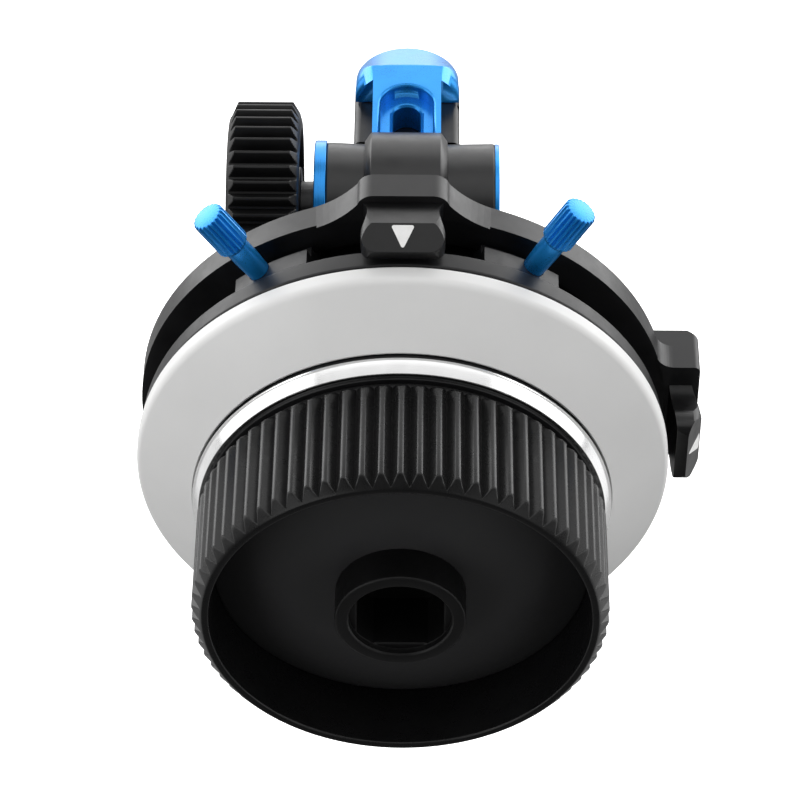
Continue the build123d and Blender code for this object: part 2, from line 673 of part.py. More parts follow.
gr = gear_module * gear_teeth / 2
tip_r, root_r = gr + gear_module, gr - 1.25 * gear_module
gear_pts = []
for k in range(gear_teeth):
    c = 2 * math.pi * (k + 0.20) / gear_teeth
    half_p = math.pi * gear_module / 4 / gr
    for r, wf in ((root_r, None), (gr - 0.35, 1.22), (gr + 0.05, 0.97), (gr + 0.45, 0.68), (tip_r, 0.40)):
        w = half_p * (wf if wf else 1.55) * gr / r
        gear_pts.append((c - w, r))
    for r, wf in ((tip_r, 0.40), (gr + 0.45, 0.68), (gr + 0.05, 0.97), (gr - 0.35, 1.22), (root_r, None)):
        w = half_p * (wf if wf else 1.55) * gr / r
        gear_pts.append((c + w, r))
gear_xy = [(r * math.sin(a), r * math.cos(a)) for a, r in gear_pts]
with BuildPart() as drive_gear:
    with BuildSketch(end_at(gear_x0)):
        Polygon(*gear_xy, align=None)
    extrude(amount=gear_x1 - gear_x0)
    with BuildSketch(CRS):
        with BuildLine():
            Polyline((gear_x0, 0), (gear_x0, root_r - 0.7), (gear_x0 + 1.3, tip_r + 0.05), (gear_x1 - 1.4, tip_r + 0.05), (gear_x1 - 0.3, root_r + 0.1),
                     (gear_x1, root_r - 1.1), (gear_x1, 0), close=True)
        make_face()
    revolve(axis=CROSS, mode=Mode.INTERSECT)
    # dished faces and bore
    with BuildSketch(CRS):
        with BuildLine():
            Polyline((gear_x0 - 0.1, 7.0), (gear_x0 - 0.1, 13.6), (gear_x0 + 1.6, 13.2), (gear_x0 + 1.6, 7.4), close=True)
        make_face()
        with BuildLine():
            Polyline((gear_x1 + 0.1, 7.0), (gear_x1 + 0.1, 13.6), (gear_x1 - 1.6, 13.2), (gear_x1 - 1.6, 7.4), close=True)
        make_face()
        with BuildLine():
            Polyline((gear_x0 - 0.1, 0), (gear_x0 - 0.1, 5.0), (gear_x0 + 2.4, 5.0), (gear_x0 + 2.4, 0), close=True)
        make_face()
        with BuildLine():
            Polyline((gear_x0, 0), (gear_x0, 3.0), (gear_x1 + 0.1, 3.0), (gear_x1 + 0.1, 0), close=True)
        make_face()
    revolve(axis=CROSS, mode=Mode.SUBTRACT)
finish(drive_gear.part, "drive_gear")

gear_washer = turned([(gear_x0 + 1.75, 1.35), (gear_x0 + 1.75, 4.6), (gear_x0 + 2.4, 4.6), (gear_x0 + 2.4, 1.35)], CROSS, CRS)
finish(gear_washer.part, "gear_washer")
with BuildPart() as gear_screw:
    with BuildSketch(CRS):
        with BuildLine():
            Polyline((gear_x0 + 0.1, 0), (gear_x0 + 0.1, 2.2), (gear_x0 + 0.35, 2.5), (gear_x0 + 1.75, 2.5), (gear_x0 + 1.75, 1.25), (-19.0, 1.25), (-19.0, 0), close=True)
        make_face()
    revolve(axis=CROSS)
    with BuildSketch(end_at(gear_x0 + 0.1)):
        RegularPolygon(1.2, 6)
    extrude(amount=1.0, mode=Mode.SUBTRACT)
finish(gear_screw.part, "gear_screw")


# ======================= travel stops =======================
def stop_set(deg, toward_top, tag):
    """Block, swivel shoe and thumb screw of one travel stop."""
    lo, hi = (-6.5, 12.0) if toward_top > 0 else (-12.0, 6.5)
    a0, a1 = math.radians(deg + lo), math.radians(deg + hi)

    def arc_pts(r, a):
        return (r * math.sin(a), r * math.cos(a))
    am = (a0 + a1) / 2
    with BuildPart() as block:
        for s_near, s_far, ri, ro in ((6.8, 10.2, 30.25, 38.2), (10.2, 12.3, 30.25, 36.6), (12.3, 14.6, 33.05, 34.95)):
            with BuildSketch(face_at(s_near)):
                with BuildLine():
                    ThreePointArc(arc_pts(ri, a0), arc_pts(ri, am), arc_pts(ri, a1))
                    Line(arc_pts(ri, a1), arc_pts(ro, a1))
                    ThreePointArc(arc_pts(ro, a1), arc_pts(ro, am), arc_pts(ro, a0))
                    Line(arc_pts(ro, a0), arc_pts(ri, a0))
                make_face()
            extrude(amount=-(s_far - s_near))
        with BuildSketch(radial(deg, stop_s, 29.0)):
            Circle(1.72)
        extrude(amount=10.0, mode=Mode.SUBTRACT)
    finish(block.part, "stop_block_" + tag)
    with BuildPart() as shoe:
        with BuildSketch(radial(deg, stop_s, 30.1)):
            Circle(1.55)
        extrude(amount=0.8)
    finish(shoe.part, "stop_shoe_" + tag)
    with BuildPart() as screw:
        with BuildSketch(radial(deg, stop_s, 31.0)):
            Circle(1.65)
        extrude(amount=7.0)
        with BuildSketch(radial(deg, stop_s, 38.0)):
            Circle(1.65)
        extrude(amount=3.5, taper=-2.8)
        with BuildSketch(radial(deg, stop_s, 41.4)):
            Circle(1.82)
        extrude(amount=2.7)
        with BuildSketch(radial(deg, stop_s, 44.1)):
            Polygon(*star(20, 2.48, 2.2, 0.34, 0.30), align=None)
        extrude(amount=6.95)
        with BuildSketch(radial(deg, stop_s, 44.1)):
            Circle(2.3)
        extrude(amount=7.1)
    finish(screw.part, "stop_screw_" + tag)


stop_set(stop_a_deg, 1, "a")
stop_set(stop_b_deg, -1, "b")

# ======================= swinging arm =======================
open_half = 68.0   # half angle of the collar's opening, about the operator's side
with BuildPart() as arm_collar:
    with BuildSketch(end_at(-collar_half)):
        Circle(collar_r)
        Circle(barrel_r + 0.06, mode=Mode.SUBTRACT)
        # opening: local x is +Y, so the operator is at local -x
        with BuildLine():
            ax = math.radians(180 - open_half)
            Polyline((0, 0), (20 * math.cos(ax), 20 * math.sin(ax)), (-30, 20 * math.sin(ax)), (-30, -20 * math.sin(ax)),
                     (20 * math.cos(ax), -20 * math.sin(ax)), close=True)
        make_face(mode=Mode.SUBTRACT)
    extrude(amount=2 * collar_half)
    # turned edges
    with BuildSketch(CRS):
        with BuildLine():
            Polyline((-collar_half, 0), (-collar_half, collar_r - 1.45), (-collar_half + 0.85, collar_r - 0.25), (-collar_half + 1.15, collar_r + 0.02),
                     (collar_half - 1.15, collar_r + 0.02), (collar_half - 0.85, collar_r - 0.25), (collar_half, collar_r - 1.45), (collar_half, 0), close=True)
        make_face()
    revolve(axis=CROSS, mode=Mode.INTERSECT)
    # screw holes towards the arm
    for sx in (-3.95, 3.95):
        with BuildSketch(Plane(origin=(sx, yy(barrel_s + 8.0), knob_z + 3.0), x_dir=(1, 0, 0), z_dir=(0, 1, 0))):
            Circle(0.85)
        extrude(amount=6.0, mode=Mode.SUBTRACT)
        with BuildSketch(Plane(origin=(sx, yy(barrel_s + 8.0), knob_z + 3.0), x_dir=(1, 0, 0), z_dir=(0, 1, 0))):
            Circle(1.5)
        extrude(amount=3.1, mode=Mode.SUBTRACT)
finish(arm_collar.part, "arm_collar")

# slotted arm: bar with a counterbored slot, dome-ended, dovetail below
crown_steps = (0.02, 0.10, 0.22, 0.36, 0.52, 0.68, 0.84, 1.0)


def side_share(d):
    """How far out the bulged side stands when the crown has fallen by the share d."""
    lo, hi = 0.0, 1.0
    for i in range(40):
        u = (lo + hi) / 2
        if 0.5 * (u + 1 - math.sqrt(max(0.0, 1 - u * u))) < d:
            lo = u
        else:
            hi = u
    return (lo + hi) / 2


def hood_outline(d):
    """Plan of the dome end where its crown has fallen by the share d: 0 is the flat top, 1 is the rim."""
    ub = side_share(d)
    w = arm_half + (dome_half - arm_half) * ub
    right = [(w, hood_s), (w, 81.8)]
    for k in range(13):
        f = math.radians(90 - 7.5 * k)
        rim = (dome_half * math.sin(f), dome_s + dome_half * math.cos(f))
        top = (arm_half * min(1.0, math.sin(f) / math.sin(math.radians(46))), 83.5)
        m = max(0.0, min(1.0, (math.degrees(f) - 40) / 50))
        u = d + (ub - d) * m * m * (3 - 2 * m)
        right.append((top[0] + (rim[0] - top[0]) * u, top[1] + (rim[1] - top[1]) * u))
    return right + [(-x, y) for x, y in right[-2::-1]]


with BuildPart() as slotted_arm:
    # rim of the dome end
    with BuildSketch(level(3.1)):
        Polygon(*hood_outline(1.0), align=None)
    extrude(amount=0.6)
    # its crown falls from the flat top of the bar to the rim
    for d in crown_steps:
        with BuildSketch(level(arm_top - (arm_top - 3.7) * d)):
            Polygon(*hood_outline(d), align=None)
    loft(ruled=True)
    # bar from the collar to the dome end
    with BuildSketch(level(3.5)):
        with BuildLine():
            Polyline((-arm_half, 64.0), (-arm_half, hood_s + 0.5), (arm_half, hood_s + 0.5), (arm_half, 64.0), close=True)
        make_face()
    extrude(amount=arm_top - 3.5)
    # dovetail tongue
    with BuildSketch(face_at(70.6)):
        with BuildLine():
            Polyline((-5.0, 3.5), (5.0, 3.5), (5.8, 0.5), (-5.8, 0.5), close=True)
        make_face()
    extrude(amount=-17.4)
    with BuildSketch(face_at(64.0)):
        with BuildLine():
            Polyline((-5.0, 3.5), (5.0, 3.5), (5.6, 0.5), (-5.6, 0.5), close=True)
        make_face()
    extrude(amount=-6.6)
    # saddle on the collar
    with BuildSketch(end_at(-12)):
        Circle(collar_r)
    extrude(amount=24, mode=Mode.SUBTRACT)
    # counterbored slot, open towards the collar
    with BuildSketch(level(arm_top)):
        with BuildLine():
            Line((-4.3, 60.0), (-4.3, 74.4))
            ThreePointArc((-4.3, 74.4), (0, 78.7), (4.3, 74.4))
            Line((4.3, 74.4), (4.3, 60.0))
            Line((4.3, 60.0), (-4.3, 60.0))
        make_face()
    extrude(amount=-2.6, mode=Mode.SUBTRACT)
    # broken edges of the counterbore and of the slot
    for top, r_in, c in ((arm_top, 4.3, 0.5), (arm_top - 2.6, 2.3, 0.5)):
        with BuildSketch(level(top)):
            with BuildLine():
                Line((-r_in - c, 60.0), (-r_in - c, 74.4))
                ThreePointArc((-r_in - c, 74.4), (0, 74.4 + r_in + c), (r_in + c, 74.4))
                Line((r_in + c, 74.4), (r_in + c, 60.0))
                Line((r_in + c, 60.0), (-r_in - c, 60.0))
            make_face()
        extrude(amount=-c, taper=45, mode=Mode.SUBTRACT)
    with BuildSketch(level(arm_top)):
        with BuildLine():
            Line((-2.3, 60.0), (-2.3, 74.4))
            ThreePointArc((-2.3, 74.4), (0, 76.7), (2.3, 74.4))
            Line((2.3, 74.4), (2.3, 60.0))
            Line((2.3, 60.0), (-2.3, 60.0))
        make_face()
    extrude(amount=-9, mode=Mode.SUBTRACT)
    # threaded holes for the two arm screws
    for sx in (-3.95, 3.95):
        with BuildSketch(Plane(origin=(sx, yy(66.0), knob_z + 3.0), x_dir=(1, 0, 0), z_dir=(0, 1, 0))):
            Circle(0.85)
        extrude(amount=8.0, mode=Mode.SUBTRACT)
finish(slotted_arm.part, "slotted_arm")

with BuildPart() as arm_screws:
    for sx in (-3.95, 3.95):
        with BuildSketch(Plane(origin=(sx, yy(barrel_s + 11.1 - 0.3), knob_z + 3.0), x_dir=(1, 0, 0), z_dir=(0, 1, 0))):
            Circle(1.45)
        extrude(amount=0.3)
        with BuildSketch(Plane(origin=(sx, yy(barrel_s + 11.1), knob_z + 3.0), x_dir=(1, 0, 0), z_dir=(0, 1, 0))):
            Circle(0.83)
        extrude(amount=5.6)
finish(arm_screws.part, "arm_screws")

# ======================= rod clamp =======================
# block with a dovetail groove above, the rod bore, and two ears below
screw_z = -rod_r - 6.0
with BuildPart() as clamp_block:
    with BuildSketch(Plane(origin=(0, 0, 0), x_dir=(1, 0, 0), z_dir=(0, 0, 1)).offset(-20.0)):
        with BuildLine():
            Line((-block_half, -11.3), (block_half, -11.3))
            Line((block_half, -11.3), (block_half, 2.3))
            ThreePointArc((block_half, 2.3), (0, 2.3 + block_half), (-block_half, 2.3))
            Line((-block_half, 2.3), (-block_half, -11.3))
        make_face()
    extrude(amount=20.0 + knob_z + 3.0)
    # side outline: the ears are narrower than the body
    with BuildSketch(Plane(origin=(-12, 0, 0), x_dir=(0, 1, 0), z_dir=(1, 0, 0))):
        with BuildLine():
            Polyline((-11.3, 13.0), (10.6, 13.0), (10.6, -4.0), (7.4, -9.0), (7.0, -18.6), (5.6, -20.0), (-5.6, -20.0), (-7.0, -18.6),
                     (-7.4, -9.0), (-9.6, -5.0), (-9.6, 5.5), (-11.3, 8.0), close=True)
        make_face()
    extrude(amount=24, mode=Mode.INTERSECT)
    # rounded upper edges
    for m in (1, -1):
        with BuildSketch(Plane(origin=(0, -12, 0), x_dir=(1, 0, 0), z_dir=(0, -1, 0))):
            with BuildLine():
                ThreePointArc((m * block_half, 11.8), (m * (block_half - 0.35), 12.65), (m * (block_half - 1.2), 13.0))
                Polyline((m * (block_half - 1.2), 13.0), (m * (block_half - 1.2), 13.6), (m * (block_half + 0.6), 13.6), (m * (block_half + 0.6), 11.8),
                         (m * block_half, 11.8))
            make_face()
        extrude(amount=-30, mode=Mode.SUBTRACT)
    # rod bore and the split below it
    with BuildSketch(Plane(origin=(-12, 0, 0), x_dir=(0, 1, 0), z_dir=(1, 0, 0))):
        Circle(rod_r)
        with Locations((0, -15)):
            Rectangle(1.6, 20)
    extrude(amount=24, mode=Mode.SUBTRACT)
    # dovetail groove for the arm
    with BuildSketch(Plane(origin=(0, -12, 0), x_dir=(1, 0, 0), z_dir=(0, -1, 0))):
        with BuildLine():
            Polyline((-5.0, knob_z + 3.7), (5.0, knob_z + 3.7), (5.95, knob_z + 0.38), (-5.95, knob_z + 0.38), close=True)
        make_face()
    extrude(amount=-30, mode=Mode.SUBTRACT)
    # clamp screw hole: free in the rear ear, threaded in the front one
    with BuildSketch(Plane(origin=(0, 12, screw_z), x_dir=(1, 0, 0), z_dir=(0, -1, 0))):
        Circle(2.1)
    extrude(amount=24, mode=Mode.SUBTRACT)
    # grub screw hole
    with BuildSketch(Plane(origin=(12, -2.0, knob_z + 1.9), x_dir=(0, 1, 0), z_dir=(-1, 0, 0))):
        Circle(0.8)
    extrude(amount=6.4, mode=Mode.SUBTRACT)
finish(clamp_block.part, "clamp_block")

with BuildPart() as slide_grub_screw:
    with BuildSketch(Plane(origin=(8.0, -2.0, knob_z + 1.9), x_dir=(0, 1, 0), z_dir=(-1, 0, 0))):
        Circle(0.8)
        RegularPolygon(0.4, 6, mode=Mode.SUBTRACT)
    extrude(amount=1.6)
finish(slide_grub_screw.part, "slide_grub_screw")

with BuildPart() as clamp_washer:
    with BuildSketch(Plane(origin=(0, 7.35, screw_z), x_dir=(1, 0, 0), z_dir=(0, 1, 0))):
        Circle(3.6)
        Circle(2.1, mode=Mode.SUBTRACT)
    extrude(amount=0.8)
finish(clamp_washer.part, "clamp_washer")

with BuildPart() as clamp_screw:
    with BuildSketch(Plane(origin=(0, -6.4, screw_z), x_dir=(1, 0, 0), z_dir=(0, 1, 0))):
        Circle(2.0)
    extrude(amount=6.4 + 17.0)
finish(clamp_screw.part, "clamp_screw")

with BuildPart() as clamp_thumb_knob:
    with BuildSketch(Plane(origin=(0, 8.3, screw_z), x_dir=(1, 0, 0), z_dir=(0, 1, 0))):
        Circle(3.2)
    extrude(amount=2.0)
    with BuildSketch(Plane(origin=(0, 10.3, screw_z), x_dir=(1, 0, 0), z_dir=(0, 1, 0))):
        Polygon(*star(24, 5.2, 4.8, 0.34, 0.30), align=None)
    extrude(amount=8.0)
    with BuildSketch(Plane(origin=(0, 10.3, screw_z), x_dir=(1, 0, 0), z_dir=(0, 1, 0))):
        Circle(4.5)
    extrude(amount=8.3)
    with BuildSketch(Plane(origin=(0, 8.3, screw_z), x_dir=(1, 0, 0), z_dir=(0, 1, 0))):
        Circle(2.0)
    extrude(amount=8.7, mode=Mode.SUBTRACT)
finish(clamp_thumb_knob.part, "clamp_thumb_knob")
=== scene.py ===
import json
import math

import bmesh
import bpy
from mathutils import Matrix, Vector


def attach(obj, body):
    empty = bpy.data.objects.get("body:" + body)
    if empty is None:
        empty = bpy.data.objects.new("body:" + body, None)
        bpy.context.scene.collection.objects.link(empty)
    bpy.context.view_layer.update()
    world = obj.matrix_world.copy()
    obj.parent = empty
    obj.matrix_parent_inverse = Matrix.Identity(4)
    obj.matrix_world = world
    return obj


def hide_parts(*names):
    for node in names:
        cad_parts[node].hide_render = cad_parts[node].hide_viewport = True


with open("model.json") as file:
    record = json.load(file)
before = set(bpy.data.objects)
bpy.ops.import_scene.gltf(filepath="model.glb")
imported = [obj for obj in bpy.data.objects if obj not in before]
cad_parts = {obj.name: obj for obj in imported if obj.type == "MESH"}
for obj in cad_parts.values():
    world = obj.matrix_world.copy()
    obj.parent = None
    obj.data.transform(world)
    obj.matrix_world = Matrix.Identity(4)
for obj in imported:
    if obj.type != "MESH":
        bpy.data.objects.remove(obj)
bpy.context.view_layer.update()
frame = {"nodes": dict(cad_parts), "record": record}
nodes = frame["nodes"]

MM = 0.001
D, KZ, BS = 81.5, 10.0, 56.7      # rod to disc, wheel axis height, cross shaft station
COLL = bpy.context.scene.collection


# ---------------------------------------------------------------------------
# mesh helpers, all in millimetres in the row frame
# ---------------------------------------------------------------------------
class Ax:
    """An axis: station s along a, angle t from v towards u."""

    def __init__(self, o, a, u, v):
        self.o, self.a, self.u, self.v = Vector(o), Vector(a), Vector(u), Vector(v)

    def at(self, s, r, t):
        return self.o + self.a * s + (self.u * math.sin(t) + self.v * math.cos(t)) * r


KNOB = Ax((0, -D, KZ), (0, 1, 0), (1, 0, 0), (0, 0, 1))
CROSS = Ax((0, BS - D, KZ), (1, 0, 0), (0, 1, 0), (0, 0, 1))
CLAMP = Ax((0, 0, -13.5), (0, 1, 0), (1, 0, 0), (0, 0, 1))


def stop_axis(deg):
    a = math.radians(deg)
    d = Vector((math.sin(a), 0, math.cos(a)))
    u = Vector((0, 1, 0))
    return Ax((0, 9.5 - D, KZ), d, u, d.cross(u))


def rnd(pts, r=0.2, n=3):
    """Rounds the corners of a closed outline; a third number is that corner's own radius."""
    out = []
    m = len(pts)
    for i, p in enumerate(pts):
        a, b = pts[i - 1], pts[(i + 1) % m]
        rr = p[2] if len(p) > 2 else r
        va = Vector((a[0] - p[0], a[1] - p[1]))
        vb = Vector((b[0] - p[0], b[1] - p[1]))
        la, lb = va.length, vb.length
        if rr <= 0 or la < 1e-6 or lb < 1e-6:
            out.append((p[0], p[1]))
            continue
        ang = math.acos(max(-1, min(1, va.dot(vb) / la / lb)))
        if ang > math.radians(174):
            out.append((p[0], p[1]))
            continue
        t = min(rr / math.tan(ang / 2), 0.46 * la, 0.46 * lb)
        c = Vector((p[0], p[1]))
        p0, p1 = c + va / la * t, c + vb / lb * t
        k_n = n if rr < 1.0 else n + 4
        for k in range(k_n + 1):
            w = k / k_n
            q = p0 * (1 - w) ** 2 + c * 2 * w * (1 - w) + p1 * w * w
            out.append((q.x, q.y))
    return out


def arc3(p0, p1, p2, n):
    """n + 1 points on the circle through three points, from the first to the last."""
    ax, ay = p0
    bx, by = p1
    cx, cy = p2
    d = 2 * (ax * (by - cy) + bx * (cy - ay) + cx * (ay - by))
    ux = ((ax * ax + ay * ay) * (by - cy) + (bx * bx + by * by) * (cy - ay) + (cx * cx + cy * cy) * (ay - by)) / d
    uy = ((ax * ax + ay * ay) * (cx - bx) + (bx * bx + by * by) * (ax - cx) + (cx * cx + cy * cy) * (bx - ax)) / d
    r = math.hypot(ax - ux, ay - uy)
    a0, a1, a2 = (math.atan2(y - uy, x - ux) for x, y in (p0, p1, p2))
    while a1 - a0 > math.pi:
        a1 -= 2 * math.pi
    while a1 - a0 < -math.pi:
        a1 += 2 * math.pi
    while a2 - a1 > math.pi:
        a2 -= 2 * math.pi
    while a2 - a1 < -math.pi:
        a2 += 2 * math.pi
    return [(ux + r * math.cos(a0 + (a2 - a0) * k / n), uy + r * math.sin(a0 + (a2 - a0) * k / n)) for k in range(n + 1)]


def new_object(name, bm, sharp=30):
    me = bpy.data.meshes.new(name)
    bm.to_mesh(me)
    bm.free()
    ob = bpy.data.objects.new(name, me)
    COLL.objects.link(ob)
    me.shade_smooth()
    me.set_sharp_from_angle(angle=math.radians(sharp))
    return ob


def clean(bm, dist=2e-7):
    bmesh.ops.remove_doubles(bm, verts=bm.verts, dist=dist)
    bmesh.ops.dissolve_degenerate(bm, dist=dist, edges=bm.edges)
    bmesh.ops.recalc_face_normals(bm, faces=bm.faces)


def mesh(name, verts, faces, sharp=30):
    bm = bmesh.new()
    vs = [bm.verts.new(Vector(v) * MM) for v in verts]
    for f in faces:
        if len(set(f)) > 2:
            bm.faces.new([vs[i] for i in f])
    clean(bm)
    return new_object(name, bm, sharp)


def spin(name, prof, ax=KNOB, segs=256, angles=None, sharp=30):
    """A closed profile of (station, radius) turned about an axis; prof may be a function of the angle."""
    fn = prof if callable(prof) else (lambda t: prof)
    angs = angles or [2 * math.pi * i / segs for i in range(segs)]
    verts, n = [], None
    for t in angs:
        ring = fn(t)
        n = len(ring)
        verts += [ax.at(s, max(r, 0.0), t) for s, r in ring]
    m = len(angs)
    faces = []
    for i in range(m):
        for j in range(n):
            faces.append((i * n + j, i * n + (j + 1) % n, ((i + 1) % m) * n + (j + 1) % n, ((i + 1) % m) * n + j))
    return mesh(name, verts, faces, sharp)


def weigh(ob):
    """Keeps flat faces flat in the shading beside small rounded edges."""
    mod = ob.modifiers.new("weights", "WEIGHTED_NORMAL")
    mod.mode = "FACE_AREA"
    mod.weight = 90
    mod.keep_sharp = True
    return ob


def rounded(node, name, width=0.18, segs=2, angle=28, sharp=34):
    """A copy of a CAD node's shape with its edges broken by a small round, for node to be replaced by."""
    me = nodes[node].data
    bm = bmesh.new()
    bm.from_mesh(me)
    bmesh.ops.remove_doubles(bm, verts=bm.verts, dist=1e-6)
    bmesh.ops.dissolve_degenerate(bm, dist=1e-6, edges=bm.edges)
    bmesh.ops.dissolve_limit(bm, angle_limit=math.radians(0.4), use_dissolve_boundaries=False, verts=bm.verts, edges=bm.edges)
    bmesh.ops.recalc_face_normals(bm, faces=bm.faces)
    if width > 0:
        pick = [e for e in bm.edges if len(e.link_faces) == 2 and e.calc_face_angle(0) > math.radians(angle)]
        bmesh.ops.bevel(bm, geom=pick, offset=width * MM, offset_type="OFFSET", segments=segs, profile=0.5,
                        affect="EDGES", clamp_overlap=True)
        bmesh.ops.remove_doubles(bm, verts=bm.verts, dist=1e-6)
        bmesh.ops.dissolve_degenerate(bm, dist=1e-6, edges=bm.edges)
    ob = new_object(name, bm, sharp)
    return weigh(ob)


def boolean(a, b, op="DIFFERENCE"):
    mod = a.modifiers.new("cut", "BOOLEAN")
    mod.object, mod.operation, mod.solver = b, op, "EXACT"
    deps = bpy.context.evaluated_depsgraph_get()
    me = bpy.data.meshes.new_from_object(a.evaluated_get(deps))
    a.modifiers.clear()
    old, a.data = a.data, me
    bpy.data.meshes.remove(old)
    bpy.data.objects.remove(b)
    return a


# ---------------------------------------------------------------------------
# materials
# ---------------------------------------------------------------------------
class Nt:
    """Small helper to write a node tree."""

    def __init__(self, name):
        self.m = bpy.data.materials.new(name)
        self.m.use_nodes = True
        self.t = self.m.node_tree
        self.t.nodes.clear()
        self.out = self.t.nodes.new("ShaderNodeOutputMaterial")
        self.bsdf = self.t.nodes.new("ShaderNodeBsdfPrincipled")
        self.t.links.new(self.bsdf.outputs[0], self.out.inputs[0])
        self.co = self.t.nodes.new("ShaderNodeTexCoord").outputs["Object"]

    def n(self, kind, props=None, **inputs):
        nd = self.t.nodes.new(kind)
        for k, v in (props or {}).items():
            setattr(nd, k, v)
        for k, v in inputs.items():
            self.put(nd, k.replace("_", " "), v)
        return nd

    def put(self, nd, key, v):
        sock = nd.inputs[int(key) if key.isdigit() else key]
        if isinstance(v, bpy.types.NodeSocket):
            self.t.links.new(v, sock)
        else:
            sock.default_value = v

    def math(self, op, a, b=0.0, c=0.0):
        nd = self.t.nodes.new("ShaderNodeMath")
        nd.operation = op
        for i, v in enumerate((a, b, c)):
            self.put(nd, str(i), v)
        return nd.outputs[0]

    def vmath(self, op, a, b=(0, 0, 0)):
        nd = self.t.nodes.new("ShaderNodeVectorMath")
        nd.operation = op
        self.put(nd, "0", a)
        self.put(nd, "1", b)
        return nd.outputs[0]

    def noise(self, vec, scale, detail=2.0, rough=0.5):
        nd = self.t.nodes.new("ShaderNodeTexNoise")
        self.put(nd, "Vector", vec)
        nd.inputs["Scale"].default_value = scale
        nd.inputs["Detail"].default_value = detail
        nd.inputs["Roughness"].default_value = rough
        return nd.outputs["Fac"]

    def span(self, x, lo, hi, a=0.3, b=0.7):
        nd = self.t.nodes.new("ShaderNodeMapRange")
        self.put(nd, "0", x)
        nd.inputs[1].default_value, nd.inputs[2].default_value = a, b
        nd.inputs[3].default_value, nd.inputs[4].default_value = lo, hi
        return nd.outputs[0]

    def mix(self, f, a, b):
        nd = self.t.nodes.new("ShaderNodeMix")
        nd.data_type = "RGBA"
        self.put(nd, "0", f)
        for i, v in ((6, a), (7, b)):
            if isinstance(v, bpy.types.NodeSocket):
                self.t.links.new(v, nd.inputs[i])
            else:
                nd.inputs[i].default_value = (*v, 1.0)
        return nd.outputs[2]

    def bump(self, h, strength, dist_mm, normal=None):
        nd = self.t.nodes.new("ShaderNodeBump")
        nd.inputs["Strength"].default_value = strength
        nd.inputs["Distance"].default_value = dist_mm * MM
        self.put(nd, "Height", h)
        if normal is not None:
            self.put(nd, "Normal", normal)
        return nd.outputs[0]

    def rings(self, centre, axis, pitch_mm, seed=0.0):
        """Noise that is constant round an axis: the fine lines of turning."""
        v = self.vmath("SUBTRACT", self.co, tuple(c * MM for c in centre))
        sep = self.t.nodes.new("ShaderNodeSeparateXYZ")
        self.put(sep, "0", v)
        x, y, z = sep.outputs
        if axis == "Y":
            s, p, q = y, x, z
        elif axis == "X":
            s, p, q = x, y, z
        else:
            s, p, q = z, x, y
        r = self.math("SQRT", self.math("ADD", self.math("MULTIPLY", p, p), self.math("MULTIPLY", q, q)))
        com = self.t.nodes.new("ShaderNodeCombineXYZ")
        self.put(com, "0", r)
        self.put(com, "1", s)
        com.inputs[2].default_value = seed
        return self.noise(com.outputs[0], 1.0 / (pitch_mm * MM), 3.0, 0.6), r, s

    def set(self, **kw):
        names = {"color": "Base Color", "rough": "Roughness", "metal": "Metallic", "normal": "Normal", "coat": "Coat Weight",
                 "coat_rough": "Coat Roughness", "sheen": "Sheen Weight", "spec": "Specular IOR Level", "aniso": "Anisotropic", "ior": "IOR"}
        for k, v in kw.items():
            sock = self.bsdf.inputs[names[k]]
            if isinstance(v, bpy.types.NodeSocket):
                self.t.links.new(v, sock)
            elif k == "color":
                sock.default_value = (*v, 1.0)
            else:
                sock.default_value = v
        return self.m


def black_anodised(name, centre=None, axis="Y", lo=0.30, hi=0.42, dark=(0.0065, 0.0065, 0.0070), light=(0.0105, 0.0105, 0.0112), grain=0.10, turned=0.0, spec=0.5):
    k = Nt(name)
    fine = k.noise(k.co, 9000.0, 2.0, 0.6)      # blasted grain, about a tenth of a millimetre
    broad = k.noise(k.co, 130.0, 4.0, 0.55)
    smudge = k.noise(k.co, 420.0, 5.0, 0.65)
    colour = k.mix(k.span(broad, 0, 1), dark, light)
    rough = k.math("ADD", k.span(smudge, lo, hi), k.span(fine, -0.03, 0.03))
    nrm = k.bump(fine, grain, 0.012)
    if centre is not None and turned:
        lines, r, s = k.rings(centre, axis, 0.16)
        nrm = k.bump(lines, turned, 0.006, nrm)
    return k.set(color=colour, rough=rough, normal=nrm, spec=spec)


def blue_anodised(name, centre=None, axis="Y", turned=0.25, rough=(0.25, 0.35), deep=(0.008, 0.250, 0.72), bright=(0.016, 0.315, 0.83)):
    k = Nt(name)
    broad = k.noise(k.co, 160.0, 3.0, 0.5)
    fine = k.noise(k.co, 7000.0, 2.0, 0.6)
    colour = k.mix(k.span(broad, 0, 1), deep, bright)
    nrm = k.bump(fine, 0.10, 0.008)
    if centre is not None:
        lines, r, s = k.rings(centre, axis, 0.10)
        nrm = k.bump(lines, turned, 0.006, nrm)
        rr = k.math("ADD", k.span(lines, rough[0], rough[1]), k.span(broad, -0.02, 0.03))
    else:
        rr = k.math("ADD", k.span(fine, rough[0], rough[1]), k.span(broad, -0.02, 0.03))
    return k.set(color=colour, rough=rr, metal=0.68, normal=nrm, coat=0.30, coat_rough=0.20)


def white_plastic(name):
    k = Nt(name)
    broad = k.noise(k.co, 60.0, 4.0, 0.5)
    fine = k.noise(k.co, 5200.0, 2.0, 0.6)
    marks = k.noise(k.co, 700.0, 6.0, 0.75)
    lines, r, s = k.rings((0, -D, KZ), "Y", 0.22)
    colour = k.mix(k.span(broad, 0, 1), (0.70, 0.70, 0.695), (0.745, 0.745, 0.74))
    colour = k.mix(k.span(marks, 0.0, 0.18, 0.62, 0.80), colour, (0.60, 0.60, 0.595))
    rough = k.math("ADD", k.span(marks, 0.40, 0.52), k.span(lines, -0.03, 0.03))
    nrm = k.bump(lines, 0.10, 0.004, k.bump(fine, 0.10, 0.006))
    return k.set(color=colour, rough=rough, normal=nrm)


